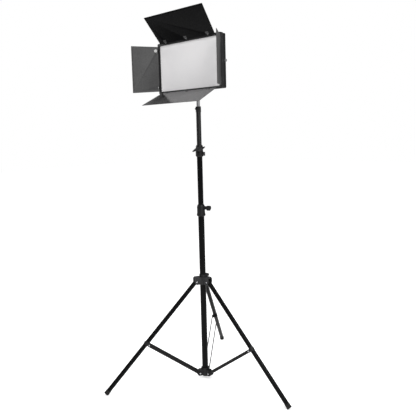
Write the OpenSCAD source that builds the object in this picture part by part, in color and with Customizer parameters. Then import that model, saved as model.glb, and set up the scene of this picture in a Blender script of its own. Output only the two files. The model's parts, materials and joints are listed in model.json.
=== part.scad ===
// LED panel light with four barn doors on a three-section folding light stand.
// Millimetres, +Z up. Origin on the floor, on the axis of the stand's column.
// The lamp faces -Y at rest.

/* [Column] */
// Outer diameter of the lower column tube
lower_tube_d = 25; // [24.8:0.1:25.2]
// Outer diameter of the middle column tube
middle_tube_d = 22; // [21.8:0.1:22.2]
// Outer diameter of the top column tube
top_tube_d = 19; // [18.8:0.1:19.2]
// Wall thickness of all column tubes
tube_wall = 1; // [0.8:0.1:1.2]
// Height of the lower clamp collar's top face
lower_clamp_z = 739; // [720:1:760]
// Height of the upper clamp collar's top face
upper_clamp_z = 978; // [960:1:1000]
// Height of the top tube's upper end
top_tube_z = 1105; // [1095:1:1130]
// Length of the middle tube
middle_tube_len = 681; // [640:1:700]
// Length of the top tube
top_tube_len = 650; // [600:1:660]

/* [Legs] */
// Direction of the first leg round the column
leg_turn = 242; // [0:1:359]
// Radius of the leg pivots from the column's axis
leg_pivot_r = 30; // [29:0.5:31]
// Height of the leg pivots with the stand open
leg_pivot_z = 422; // [415:1:430]
// Radius at which the leg's centre line meets the floor
foot_r = 422; // [400:1:440]
// Outer diameter of the leg tubes
leg_d = 18; // [17.6:0.1:18.4]
// Distance from leg pivot to brace pivot along the leg
brace_at = 317; // [310:1:325]
// Offset of the brace pivot towards the column
brace_off = 10; // [9:0.5:11]
// Width of a brace strip
brace_w = 12.6; // [10:0.2:14]
// Thickness of a brace strip
brace_t = 1.8; // [1:0.1:2]

/* [Base hub] */
// Radius of the brace pivots on the hub
hub_pivot_r = 26; // [25:0.5:27]
// Height of the brace pivots on the hub
hub_pivot_z = 26; // [24:1:30]

/* [Panel] */
// Height of the panel's centre
panel_z = 1283; // [1275:1:1300]
// Width of the lit opening
lit_w = 319; // [300:1:330]
// Height of the lit opening
lit_h = 179; // [170:1:190]
// Width of the frame's border
border_w = 11.5; // [10:0.5:13]
// Height of the frame's border
border_h = 9.5; // [8:0.5:11]
// Depth of the panel from flange to back
panel_depth = 26; // [24:1:32]
// Y of the panel's flat back
back_y = -24; // [-28:1:-22]
// Depth of the barn-door frame's skirt
skirt_depth = 12; // [8:1:14]

/* [Barn doors] */
// Opening of the top door, forward from the panel's plane
top_open = 38.5; // [0:0.5:180]
// Opening of the bottom door
bottom_open = 63.5; // [0:0.5:180]
// Opening of the left door
left_open = 50; // [0:0.5:180]
// Opening of the right door
right_open = 55.5; // [0:0.5:180]
// Reach of the top door from its hinge
top_len = 117; // [100:1:120]
// Reach of the bottom door from its hinge
bottom_len = 114; // [100:1:118]
// Reach of the side doors from their hinges
side_len = 105; // [90:1:110]
// Width of the top and bottom doors at the hinge
long_near = 294; // [280:1:300]
// Width of the top and bottom doors at the free edge
long_far = 312; // [300:1:320]
// Height of the side doors at the hinge
side_h = 176; // [160:1:178]
// Height of the side doors at the free edge
side_far = 184; // [160:1:184]
// Thickness of the door sheet
door_t = 1.2; // [0.8:0.1:1.4]

/* [Rear cover] */
// Width of the rear cover
cover_w = 184; // [176:1:200]
// Height of the rear cover below the panel's centre
cover_below = 66; // [64:1:68]
// Height of the rear cover above the panel's centre
cover_above = 60; // [56:1:66]
// Depth of the rear cover
cover_depth = 36; // [34:1:40]

/* [Hidden] */

$fn = 64;
lr = lower_tube_d / 2;
mr = middle_tube_d / 2;
tr = top_tube_d / 2;
run = 0.05;                       // radial clearance of a running fit
leg_r = leg_d / 2;
theta = atan2(foot_r - leg_pivot_r, leg_pivot_z);        // leg angle from vertical
leg_len = norm([foot_r - leg_pivot_r, leg_pivot_z]);
leg_end = leg_len - 6;            // end of the rubber foot, measured from the leg pivot
jr = leg_pivot_r + brace_at * sin(theta) - brace_off * cos(theta);
jz = leg_pivot_z - brace_at * cos(theta) - brace_off * sin(theta);
beta = atan2(jr - hub_pivot_r, jz - hub_pivot_z);        // brace angle from vertical
brace_len = norm([jr - hub_pivot_r, jz - hub_pivot_z]);
strip_in = leg_r + 1.4;           // inner face of a brace strip
strip_out = strip_in + brace_t;

front_y = back_y - panel_depth;   // front of the frame's flange
lit_y = front_y + 4;              // front face of the diffuser
out_w = lit_w / 2 + border_w;     // half width of the frame
out_h = lit_h / 2 + border_h;     // half height of the frame
case_w = out_w - 1.6;             // half width of the housing
case_h = out_h - 1.6;             // half height of the housing
side_axis_y = front_y - 2.2;      // hinge axes, stacked so closed doors lie on each other
bottom_axis_y = front_y - 4.2;
top_axis_y = front_y - 6.2;
long_axis_z = lit_h / 2 + 6;
side_axis_x = lit_w / 2 + 10;
pivot_z = 1192;                   // tilt axis
rear_y = back_y + cover_depth;    // rear face of the rear cover
plate_x = 64;                     // centre of a battery plate
screw_y = back_y - 8;             // side thumb screws

// ---------- helpers ----------
module at_leg(i) { rotate([0, 0, leg_turn + 120 * i]) children(); }
module on_leg() { translate([leg_pivot_r, 0, leg_pivot_z]) rotate([0, 180 - theta, 0]) children(); }
module tube(r, w, z0, z1) {
  translate([0, 0, z0]) difference() {
    cylinder(r = r, h = z1 - z0);
    translate([0, 0, -1]) cylinder(r = r - w, h = z1 - z0 + 2);
  }
}
module ycyl(r, y0, y1) { translate([0, y1, 0]) rotate([90, 0, 0]) cylinder(r = r, h = y1 - y0); }
module xcyl(r, x0, x1) { translate([x0, 0, 0]) rotate([0, 90, 0]) cylinder(r = r, h = x1 - x0); }
// points its local Z outwards from the column at azimuth a, height z
module spoke(a, z) { rotate([0, 0, a]) translate([0, 0, z]) rotate([0, 90, 0]) children(); }
module rr2(w, h, r) {
  square([2 * w - 2 * r, 2 * h], center = true);
  square([2 * w, 2 * h - 2 * r], center = true);
  for (x = [-1, 1], z = [-1, 1]) translate([x * (w - r), z * (h - r)]) circle(r = r);
}
// a rounded slab of half width w and half height h about the panel's centre, from y0 to y1
module slab(w, h, y0, y1, r) {
  translate([0, y1, panel_z]) rotate([90, 0, 0]) linear_extrude(y1 - y0) rr2(w, h, r);
}
module block(x0, x1, y0, y1, z0, z1) { translate([x0, y0, z0]) cube([x1 - x0, y1 - y0, z1 - z0]); }
module lobed(n, r, lobe, h) {
  cylinder(r = r - lobe * 0.45, h = h);
  for (i = [0:n - 1]) rotate([0, 0, i * 360 / n]) translate([r - lobe, 0, 0]) cylinder(r = lobe, h = h);
}

// ---------- column ----------
module lower_tube() { color("#1b1b1c") tube(lr, tube_wall, 17, lower_clamp_z - 6.2); }
module column_end_cap() {
  color("#111111") {
    translate([0, 0, 10]) cylinder(r = lr + 0.6, h = 6.9);
    translate([0, 0, 16.9]) cylinder(r = lr - tube_wall - 0.04, h = 12);
  }
}
module middle_tube() { color("#222223") tube(mr, tube_wall, upper_clamp_z - 7 - middle_tube_len, upper_clamp_z - 7); }
module middle_tube_bush() {
  z0 = upper_clamp_z - 7 - middle_tube_len;
  color("#d8d5cc") difference() {
    union() {
      translate([0, 0, z0 - 6]) cylinder(r = lr - tube_wall - run, h = 5.95);
      translate([0, 0, z0 - 0.05]) cylinder(r = mr - tube_wall - 0.03, h = 12);
    }
    translate([0, 0, z0 - 7]) cylinder(r = mr - tube_wall - 1.4, h = 30);
  }
}
module top_tube() { color("#2c2c2d") tube(tr, tube_wall, top_tube_z - top_tube_len, top_tube_z); }
module top_tube_bush() {
  z0 = top_tube_z - top_tube_len;
  color("#d8d5cc") {
    translate([0, 0, z0 - 6]) cylinder(r = mr - tube_wall - run, h = 5.95);
    translate([0, 0, z0 - 0.05]) cylinder(r = tr - tube_wall - 0.03, h = 12);
  }
}
module stand_spigot() {
  color("#c9c9cb") {
    translate([0, 0, top_tube_z - 60]) cylinder(r = tr - tube_wall - 0.03, h = 60);
    translate([0, 0, top_tube_z - 0.5]) cylinder(r = 8, h = 16.5);
  }
}
module lower_clamp_collar() {
  z = lower_clamp_z;
  color("#262627") difference() {
    union() {
      rotate_extrude() polygon([[5, z - 48], [13.4, z - 48], [18, z - 44], [18, z - 41.5], [16.2, z - 33], [16.2, z - 8], [14, z - 2], [13.4, z], [5, z]]);
      spoke(20, z - 13) cylinder(r = 7.2, h = 19.4);
    }
    translate([0, 0, z - 49]) cylinder(r = lr + 0.02, h = 43);
    translate([0, 0, z - 7]) cylinder(r = mr + run, h = 8);
    spoke(20, z - 13) translate([0, 0, 5]) cylinder(r = 3, h = 20);
    rotate([0, 0, 200]) block(10, 20, -0.8, 0.8, z - 24, z + 1);
  }
}
module lower_clamp_knob() {
  color("#1d1d1e") spoke(20, lower_clamp_z - 13) {
    translate([0, 0, 12.9]) cylinder(r = 3 - run, h = 8);
    translate([0, 0, 19.8]) cylinder(r = 6, h = 5.3);
    translate([0, 0, 25]) lobed(3, 11.4, 5, 16);
    translate([0, 0, 25]) cylinder(r = 6.5, h = 18.6);
  }
}
module upper_clamp_collar() {
  z = upper_clamp_z;
  color("#262627") difference() {
    union() {
      rotate_extrude() polygon([[5, z - 47], [12.4, z - 47], [15.4, z - 43], [15.4, z - 27], [14.2, z - 22], [14.2, z - 6], [11.8, z], [5, z]]);
      spoke(309, z - 16) cylinder(r = 7, h = 17.6);
      rotate([0, 0, 32]) { block(12, 21.5, 1.2, 6, z - 43, z - 28); block(12, 21.5, -6, -1.2, z - 43, z - 28); }
    }
    translate([0, 0, z - 48]) cylinder(r = mr + 0.02, h = 41.2);
    translate([0, 0, z - 7.5]) cylinder(r = tr + run, h = 9);
    spoke(309, z - 16) translate([0, 0, 5]) cylinder(r = 3, h = 20);
    rotate([0, 0, 32]) block(9, 23, -1.2, 1.2, z - 48, z - 26);
  }
}
module upper_clamp_knob() {
  color("#1d1d1e") spoke(309, upper_clamp_z - 16) {
    translate([0, 0, 11.4]) cylinder(r = 3 - run, h = 8);
    translate([0, 0, 18]) cylinder(r = 5.6, h = 6);
    translate([0, 0, 23]) cylinder(r = 8.2, h = 8);
    translate([0, 0, 25]) linear_extrude(9)
      polygon([[10.5, -24.5], [6.5, -24.5], [-2.5, -15], [-9, -5], [-7, 8], [-10.5, 24.5], [-6.5, 24.5], [2.5, 15], [9, 5], [7, -8]]);
  }
}

// ---------- base ----------
module base_hub() {
  color("#232324") difference() {
    union() {
      translate([0, 0, 14]) cylinder(r = 17, h = 32);
      for (i = [0:2]) at_leg(i) {
        translate([hub_pivot_r, 0, hub_pivot_z]) ycyl(11, -strip_in + 0.35, strip_in - 0.35);
        block(5, hub_pivot_r, -strip_in + 0.35, strip_in - 0.35, hub_pivot_z - 11, hub_pivot_z + 14);
      }
    }
    translate([0, 0, 16.98]) cylinder(r = lr + 0.02, h = 40);
    translate([0, 0, 10]) cylinder(r = lr + 0.62, h = 7);
    for (i = [0:2]) at_leg(i) translate([hub_pivot_r, 0, hub_pivot_z]) ycyl(2.52, -20, 20);
  }
}
module hub_pins() {
  color("#b9babc") for (i = [0:2]) at_leg(i) translate([hub_pivot_r, 0, hub_pivot_z]) {
    ycyl(2.5, -strip_out - 0.8, strip_out + 0.8);
    for (s = [-1, 1]) scale([1, s, 1]) ycyl(3.5, strip_out + 0.32, strip_out + 1.6);
  }
}
module leg_collar() {
  z = leg_pivot_z;
  color("#232324") difference() {
    union() {
      translate([0, 0, z - 14]) cylinder(r = 17, h = 33);
      translate([0, 0, z + 18]) cylinder(r = 14.5, h = 10);
      for (i = [0:2]) at_leg(i) translate([0, 13.2, 0]) rotate([90, 0, 0]) linear_extrude(26.4)
        polygon([[8, z - 12], [31, z - 12], [38.5, z - 4], [38.5, z + 14], [33.5, z + 19], [8, z + 19]]);
      rotate([0, 0, leg_turn + 180]) for (s = [-1, 1]) scale([1, s, 1]) block(12, 26, 1.2, 6, z + 19.5, z + 28);
    }
    translate([0, 0, z - 15]) cylinder(r = lr + run, h = 60);
    for (i = [0:2]) at_leg(i) {
      block(16.4, 50, -leg_r - 0.5, leg_r + 0.5, z - 20, z + 14.5);
      translate([leg_pivot_r, 0, z]) ycyl(2.52, -20, 20);
    }
    rotate([0, 0, leg_turn + 180]) {
      block(9, 30, -1.2, 1.2, z + 19.5, z + 31);
      translate([21.8, 0, z + 23.8]) ycyl(2, -20, 20);
    }
  }
}
module leg_collar_pins() {
  color("#b9babc") for (i = [0:2]) at_leg(i) translate([leg_pivot_r, 0, leg_pivot_z]) {
    ycyl(2.5, -13.6, 13.6);
    for (s = [-1, 1]) scale([1, s, 1]) ycyl(3.3, 13.25, 14.8);
  }
}
module leg_collar_knob() {
  color("#1d1d1e") rotate([0, 0, leg_turn + 180]) translate([21.8, 0, leg_pivot_z + 23.8]) {
    rotate([-90, 0, 0]) {
      translate([0, 0, -8]) cylinder(r = 2 - run, h = 15);
      translate([0, 0, -9]) cylinder(r = 3.5, h = 2.6);
      translate([0, 0, 6.4]) lobed(6, 4.3, 1.3, 12);
      translate([0, 0, 18]) cylinder(r = 2.8, h = 1.4);
    }
  }
}

// ---------- legs ----------
module leg_tube(i) {
  color("#1b1b1c") at_leg(i) on_leg() difference() {
    translate([0, 0, -9]) cylinder(r = leg_r, h = leg_end - 3);
    translate([0, 0, -10]) cylinder(r = leg_r - 1, h = leg_end);
    ycyl(2.5 + run, -20, 20);
  }
}
module leg_foot(i) {
  color("#101010") at_leg(i) difference() {
    on_leg() difference() {
      translate([0, 0, leg_end - 18]) cylinder(r = leg_r + 0.9, h = 18);
      translate([0, 0, leg_end - 19]) cylinder(r = leg_r + 0.02, h = 7.05);
    }
    block(foot_r - 80, foot_r + 80, -40, 40, -60, 0);
  }
}
module leg_saddle(i) {
  color("#161617") at_leg(i) on_leg() difference() {
    union() {
      translate([0, 0, brace_at - 8]) cylinder(r = leg_r + 0.7, h = 16);
      translate([-leg_r + 2.6, 0, brace_at]) ycyl(4.6, -4, 4);
      translate([0, -strip_in + 0.5, brace_at - 6]) cube([brace_off, 2 * strip_in - 1, 12]);
      translate([brace_off, 0, brace_at]) ycyl(6, -strip_in + 0.5, strip_in - 0.5);
    }
    translate([0, 0, brace_at - 30]) cylinder(r = leg_r + 0.02, h = 60);
  }
}
module brace(i) {
  at_leg(i) translate([hub_pivot_r, 0, hub_pivot_z]) rotate([0, beta, 0]) for (s = [-1, 1]) scale([1, s, 1]) {
    color("#2a2a2b") difference() {
      union() {
        ycyl(brace_w / 2, strip_in, strip_out);
        translate([0, 0, brace_len]) ycyl(brace_w / 2, strip_in, strip_out);
        block(-brace_w / 2, brace_w / 2, strip_in, strip_out, 0, brace_len);
      }
      ycyl(2.5 + run, 0, 20);
      translate([0, 0, brace_len]) ycyl(2.55, 0, 20);
    }
    color("#b9babc") translate([0, 0, brace_len]) {
      ycyl(2.5, strip_in, strip_out + 0.6);
      ycyl(3.5, strip_out + 0.04, strip_out + 1);
      ycyl(2.6, strip_out + 0.9, strip_out + 1.5);
    }
  }
}

// ---------- head mount ----------
module spigot_socket() {
  z = top_tube_z + 0.4;
  color("#1f1f20") difference() {
    union() {
      translate([0, 0, z]) cylinder(r = 10.5, h = 22.6);
      translate([0, 0, z + 13.6]) ycyl(5, -11.6, 0);
    }
    translate([0, 0, z - 1]) cylinder(r = 8 + run, h = 17.6);
    translate([0, 0, z + 13.6]) ycyl(2.5, -20, 0);
    translate([0, 0, z + 11.6]) cylinder(r = 3.02, h = 20);
  }
}
module socket_knob() {
  color("#151516") translate([0, 0, top_tube_z + 14]) {
    ycyl(2.5 - run, -13, -8.4);
    ycyl(4.6, -14.7, -12);
    ycyl(3.6, -15.3, -14.5);
  }
}
module tilt_stem() {
  z = top_tube_z + 23;
  color("#d4d4d6") difference() {
    union() {
      translate([0, 0, z + 0.02]) cylinder(r = 7, h = pivot_z - 10.8 - z);
      translate([0, 0, z - 6]) cylinder(r = 3, h = 8);
      block(-4, 4, -6, 6, pivot_z - 11, pivot_z);
      translate([0, 0, pivot_z]) xcyl(10, -4, 4);
    }
    translate([0, 0, pivot_z]) xcyl(3 + run, -10, 10);
  }
}
module tilt_fork() {
  zb = panel_z - cover_below;
  color("#1d1d1e") difference() {
    union() {
      for (s = [-1, 1]) scale([s, 1, 1]) {
        translate([0, 0, pivot_z]) xcyl(10, 4.4, 8.4);
        block(4.4, 8.4, -10, 10, pivot_z, zb - 3);
      }
      block(-24, 24, -18, rear_y - 2, zb - 4, zb - 0.02);
    }
    translate([0, 0, pivot_z]) xcyl(3.02, -20, 20);
    for (x = [-17, 17]) translate([x, -3, zb - 10]) cylinder(r = 2.1, h = 20);
  }
}
module tilt_bolt() {
  color("#bdbec0") translate([0, 0, pivot_z]) {
    xcyl(3, -20, 9);
    xcyl(5.5, 8.45, 12.4);
  }
}
module tilt_knob() {
  color("#151516") translate([0, 0, pivot_z]) rotate([0, -90, 0]) difference() {
    union() {
      translate([0, 0, 8.8]) cylinder(r = 6.5, h = 6);
      translate([0, 0, 14]) lobed(5, 12, 4, 11);
    }
    translate([0, 0, 8]) cylinder(r = 3 + run, h = 12.5);
  }
}

// ---------- panel ----------
module housing() {
  color("#2b2b2c") difference() {
    slab(case_w, case_h, lit_y, back_y, 5);
    slab(case_w - 2, case_h - 2, lit_y - 1, back_y - 2, 3.5);
    for (s = [-1, 1], k = [0:6]) translate([s * (cover_w / 2 + 18 + 7 * k), back_y - 1, panel_z]) cube([2.6, 6, 90], center = true);
    for (s = [-1, 1]) translate([s * case_w, screw_y, panel_z]) xcyl(2, -6, 6);
    block(-20, 20, back_y - 4, back_y + 2, panel_z - 20, panel_z + 20);
  }
}
module front_bezel() {
  color("#1b1b1c") difference() {
    slab(case_w, case_h, front_y + 1.3, lit_y - 0.04, 5);
    slab(lit_w / 2, lit_h / 2, front_y, lit_y + 1, 2);
  }
}
module diffuser() { color("#e9e9e8") slab(case_w - 2.3, case_h - 2.3, lit_y, lit_y + 3, 3); }
module spacer_frame() {
  color("#f4f4f2") difference() {
    slab(case_w - 2.3, case_h - 2.3, lit_y + 3.05, lit_y + 13, 3);
    slab(lit_w / 2, lit_h / 2, lit_y + 2, lit_y + 14, 3);
  }
}
module led_board() {
  color("#e8e6da") {
    slab(case_w - 2.3, case_h - 2.3, lit_y + 13.05, lit_y + 14.65, 3);
    for (k = [-5:5]) block(-150, 150, lit_y + 12.2, lit_y + 13.4, panel_z + 15.6 * k - 1.5, panel_z + 15.6 * k + 1.5);
  }
}
module rear_cover() {
  zc = (cover_above - cover_below) / 2;
  h = (cover_above + cover_below) / 2;
  color("#202021") difference() {
    translate([0, 0, zc]) slab(cover_w / 2, h, back_y + 0.02, rear_y, 8);
    translate([0, 0, zc]) slab(cover_w / 2 - 2.2, h - 2.2, back_y - 1, rear_y - 2.2, 6);
    block(-23, 23, rear_y - 5, rear_y + 1, panel_z + 22, panel_z + 46);            // display
    for (s = [-1, 1]) translate([s * 18, 0, panel_z - 2]) ycyl(4, 0, rear_y + 2);   // encoder shafts
    block(-7, 7, rear_y - 5, rear_y + 1, panel_z - 44, panel_z - 24);              // rocker
    translate([24, 0, panel_z - 34]) ycyl(5.6, 0, rear_y + 2);                      // DC jack
    for (k = [-4:4]) block(k * 16 - 5, k * 16 + 5, back_y + 8, back_y + 24, panel_z + cover_above - 4, panel_z + cover_above + 2);
    for (x = [-17, 17]) translate([x, -3, panel_z - cover_below - 5]) cylinder(r = 1.7, h = 10);
    for (x = [-1, 1]) for (z = [-1, 1]) translate([x * (cover_w / 2 - 7), 0, panel_z + zc + z * (h - 7)]) ycyl(1.7, rear_y - 4, rear_y + 1);
  }
}
module control_board() {
  color("#1f5f3a") {
    block(-44, 44, rear_y - 13, rear_y - 11.4, panel_z - 52, panel_z + 50);
    for (s = [-1, 1]) {
      block(s * 18 - 6, s * 18 + 6, rear_y - 11.5, rear_y - 5, panel_z - 8, panel_z + 4);
      translate([s * 18, 0, panel_z - 2]) ycyl(3, rear_y - 6, rear_y + 6);
    }
    block(-21, 21, rear_y - 11.5, rear_y - 5.2, panel_z + 23, panel_z + 45);
    block(-6.4, 6.4, rear_y - 11.5, rear_y - 8, panel_z - 43.4, panel_z - 24.6);
  }
}
module display_window() {
  color("#0b1a1c") block(-22.9, 22.9, rear_y - 1.6, rear_y + 0.3, panel_z + 22.1, panel_z + 45.9);
}
module dc_jack() {
  color("#0f0f10") translate([24, 0, panel_z - 34]) {
    difference() {
      union() { ycyl(5.5, rear_y - 11.3, rear_y + 0.4); ycyl(7, rear_y + 0.05, rear_y + 1.2); }
      ycyl(3.1, rear_y - 9, rear_y + 5);
    }
    ycyl(1, rear_y - 10, rear_y - 0.6);
  }
}
module battery_plates() {
  color("#19191a") for (s = [-1, 1]) translate([s * plate_x, 0, panel_z]) difference() {
    union() {
      block(-20, 20, rear_y + 0.05, rear_y + 3, -38, 36);
      for (r = [-1, 1]) {
        block(r * 18.4 - 1.6, r * 18.4 + 1.6, rear_y + 2.9, rear_y + 7, -38, 30);
        block(r * 17 - 3, r * 17 + 3, rear_y + 5.6, rear_y + 7, -38, 30);
      }
      block(-20, 20, rear_y + 2.9, rear_y + 7, -38, -35);
    }
    for (x = [-7, 0, 7]) block(x - 1.3, x + 1.3, rear_y + 1.5, rear_y + 4, -30, -14);
  }
}
module battery_contacts() {
  color("#c9a648") for (s = [-1, 1], x = [-7, 0, 7]) translate([s * plate_x + x, 0, panel_z])
    block(-1.1, 1.1, rear_y + 1.55, rear_y + 4.4, -28, -16);
}
module cover_screws() {
  zc = (cover_above - cover_below) / 2;
  h = (cover_above + cover_below) / 2;
  color("#8d8e90") {
    for (x = [-1, 1]) for (z = [-1, 1]) translate([x * (cover_w / 2 - 7), 0, panel_z + zc + z * (h - 7)]) difference() {
      union() { ycyl(1.65, rear_y - 3.5, rear_y + 0.5); ycyl(3, rear_y + 0.03, rear_y + 1.6); }
      for (q = [0, 90]) rotate([0, q, 0]) block(-1.7, 1.7, rear_y + 0.9, rear_y + 2, -0.35, 0.35);
    }
    for (x = [-17, 17]) translate([x, -3, panel_z - cover_below]) {
      translate([0, 0, -4.6]) cylinder(r = 1.65, h = 8);
      translate([0, 0, -6.4]) cylinder(r = 3.4, h = 2.36);
    }
  }
}
module power_rocker() {
  color("#1a1a1b") translate([0, rear_y - 1, panel_z - 34]) rotate([7, 0, 0]) difference() {
    union() { xcyl(1.2, -6.6, 6.6); block(-6.5, 6.5, -2.2, 2.4, -9, 9); }
    translate([0, 4.4, 5]) rotate([-9, 0, 0]) cube([16, 4, 14], center = true);
  }
}
module dial() {
  difference() {
    union() {
      ycyl(9.4, rear_y + 0.4, rear_y + 12);
      ycyl(10.4, rear_y + 0.4, rear_y + 3);
    }
    ycyl(3 + run, rear_y, rear_y + 6.6);
    for (k = [0:17]) rotate([0, k * 20, 0]) translate([9.8, 0, 0]) ycyl(0.8, rear_y + 3.2, rear_y + 13);
    block(-0.5, 0.5, rear_y + 11.4, rear_y + 13, 3, 8.4);
  }
}
module brightness_knob() { color("#101011") translate([-18, 0, panel_z - 2]) dial(); }
module colour_knob() { color("#101011") translate([18, 0, panel_z - 2]) dial(); }

// ---------- barn doors ----------
module barndoor_frame() {
  color("#1c1c1d") {
    difference() {
      union() {
        slab(out_w, out_h, front_y, front_y + skirt_depth, 5);
        for (s = [-1, 1]) block(s * (out_w - 0.6) - 0.6, s * (out_w - 0.6) + 0.6, front_y + 2, screw_y + 6, panel_z - 9, panel_z + 9);
      }
      slab(out_w - 1.2, out_h - 1.2, front_y + 1.2, front_y + 60, 4);
      slab(lit_w / 2, lit_h / 2, front_y - 1, front_y + 60, 2);
      for (s = [-1, 1]) translate([s * out_w, screw_y, panel_z]) xcyl(2.2, -6, 6);
    }
    // fixed knuckles
    for (x = long_at, s = [1, -1]) {
      ya = s > 0 ? top_axis_y : bottom_axis_y;
      difference() {
        union() {
          translate([x, ya, panel_z + s * long_axis_z]) xcyl(knuckle_r, -3, 3);
          block(x - 3, x + 3, ya, front_y + 0.6, panel_z + s * long_axis_z - knuckle_r, panel_z + s * long_axis_z + knuckle_r);
        }
        translate([x, ya, panel_z + s * long_axis_z]) xcyl(1.02, -6, 6);
      }
    }
    for (z = side_at, s = [-1, 1]) difference() {
      union() {
        translate([s * side_axis_x, side_axis_y, panel_z + z - 3]) cylinder(r = knuckle_r - 0.3, h = 6);
        block(s * side_axis_x - 1.5, s * side_axis_x + 1.5, side_axis_y, front_y + 0.6, panel_z + z - 3, panel_z + z + 3);
      }
      translate([s * side_axis_x, side_axis_y, panel_z + z - 6]) cylinder(r = 1.02, h = 12);
    }
  }
}
knuckle_r = 1.8;
long_at = [-114, 0, 114];
side_at = [-71, 71];
module hinge_pins() {
  color("#c4c5c7") {
    for (x = long_at, s = [1, -1]) translate([x, s > 0 ? top_axis_y : bottom_axis_y, panel_z + s * long_axis_z]) xcyl(1, -8.2, 8.2);
    for (z = side_at, s = [-1, 1]) translate([s * side_axis_x, side_axis_y, panel_z + z - 8.2]) cylinder(r = 1, h = 16.4);
  }
}
// A door lying in its own plane: hinge along X at the origin, reaching +Z.
module door(near, far, len, at, kr) {
  difference() {
    union() {
      difference() {
        translate([0, door_t / 2, 0]) rotate([90, 0, 0]) linear_extrude(door_t)
          polygon([[-near / 2, -1.2], [near / 2, -1.2], [far / 2, len], [-far / 2, len]]);
        for (x = at) block(x - 8.5, x + 8.5, -2, 2, -2, 1.2);
      }
      for (x = at, s = [-1, 1]) {
        xk = x + s * 5.6;
        translate([xk, 0, 0]) xcyl(kr, -2.3, 2.3);
        block(xk - 2.3, xk + 2.3, -door_t / 2, door_t / 2, 0, kr + 1);
      }
    }
    for (x = at) {
      translate([x, 0, 0]) xcyl(1 + run, -8.3, 8.3);
      block(x - 3.3, x + 3.3, -4, 4, -3, kr + 0.9);
    }
  }
}
module top_door() {
  color("#19191a") translate([0, top_axis_y, panel_z + long_axis_z]) rotate([top_open, 0, 0])
    door(long_near, long_far, top_len, long_at, knuckle_r);
}
module bottom_door() {
  color("#39393a") translate([0, bottom_axis_y, panel_z - long_axis_z]) rotate([-bottom_open, 0, 0]) mirror([0, 0, 1])
    door(long_near, long_far, bottom_len, long_at, knuckle_r);
}
module side_door(s, a) {
  translate([s * side_axis_x, side_axis_y, panel_z]) rotate([0, 0, -s * a]) rotate([0, s * 90, 0])
    door(side_h, side_far, side_len, side_at, knuckle_r - 0.3);
}
module left_door() { color("#39393a") side_door(-1, left_open); }
module right_door() { color("#39393a") side_door(1, right_open); }
module thumb_screw(s) {
  color("#a9aaac") translate([s * out_w, screw_y, panel_z]) scale([s, 1, 1]) {
    xcyl(2 - run, -3.4, 1);
    xcyl(4, 0.4, 2.6);
    difference() {
      xcyl(5, 2.5, 7);
      for (k = [0:11]) rotate([k * 30, 0, 0]) translate([0, 0, 5.2]) xcyl(0.6, 2, 8);
    }
  }
}
module left_thumb_screw() { thumb_screw(-1); }
module right_thumb_screw() { thumb_screw(1); }
module left_leg_tube() { leg_tube(0); }
module right_leg_tube() { leg_tube(1); }
module rear_leg_tube() { leg_tube(2); }
module left_leg_foot() { leg_foot(0); }
module right_leg_foot() { leg_foot(1); }
module rear_leg_foot() { leg_foot(2); }
module left_leg_saddle() { leg_saddle(0); }
module right_leg_saddle() { leg_saddle(1); }
module rear_leg_saddle() { leg_saddle(2); }
module left_brace() { brace(0); }
module right_brace() { brace(1); }
module rear_brace() { brace(2); }

lower_tube();
lower_clamp_collar();
base_hub();
hub_pins();
column_end_cap();
middle_tube();
upper_clamp_collar();
middle_tube_bush();
top_tube();
stand_spigot();
top_tube_bush();
lower_clamp_knob();
upper_clamp_knob();
leg_collar_knob();
leg_collar();
leg_collar_pins();
left_leg_tube();
right_leg_tube();
rear_leg_tube();
left_leg_foot();
right_leg_foot();
rear_leg_foot();
left_leg_saddle();
right_leg_saddle();
rear_leg_saddle();
left_brace();
right_brace();
rear_brace();
spigot_socket();
socket_knob();
tilt_stem();
tilt_fork();
tilt_bolt();
tilt_knob();
housing();
front_bezel();
diffuser();
spacer_frame();
led_board();
rear_cover();
control_board();
display_window();
dc_jack();
battery_plates();
battery_contacts();
cover_screws();
power_rocker();
brightness_knob();
colour_knob();
barndoor_frame();
hinge_pins();
top_door();
bottom_door();
left_door();
right_door();
left_thumb_screw();
right_thumb_screw();
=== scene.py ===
import bpy, bmesh, math, json
from mathutils import Vector, Matrix


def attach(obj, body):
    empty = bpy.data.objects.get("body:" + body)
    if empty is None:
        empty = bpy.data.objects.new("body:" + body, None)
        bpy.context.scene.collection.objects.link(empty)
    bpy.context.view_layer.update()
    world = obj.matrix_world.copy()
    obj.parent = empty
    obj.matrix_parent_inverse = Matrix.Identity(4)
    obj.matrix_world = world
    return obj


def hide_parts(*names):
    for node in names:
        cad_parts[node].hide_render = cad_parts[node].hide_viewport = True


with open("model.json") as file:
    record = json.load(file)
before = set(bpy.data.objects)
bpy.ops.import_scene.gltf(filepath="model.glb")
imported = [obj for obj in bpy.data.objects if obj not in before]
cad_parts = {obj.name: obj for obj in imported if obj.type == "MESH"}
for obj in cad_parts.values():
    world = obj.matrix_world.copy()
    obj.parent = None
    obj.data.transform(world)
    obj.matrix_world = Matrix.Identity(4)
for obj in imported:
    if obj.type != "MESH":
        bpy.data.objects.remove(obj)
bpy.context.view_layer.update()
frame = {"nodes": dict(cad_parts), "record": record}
NODES = frame["nodes"]
BODY_OF = {n: b for b, ns in frame["record"]["behaviour"]["bodies"].items() for n in ns}
SLOT_OF = {s["node"]: s["material_slot"] for s in frame["record"]["subparts"]}
MM = 0.001
scene = bpy.context.scene

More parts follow.
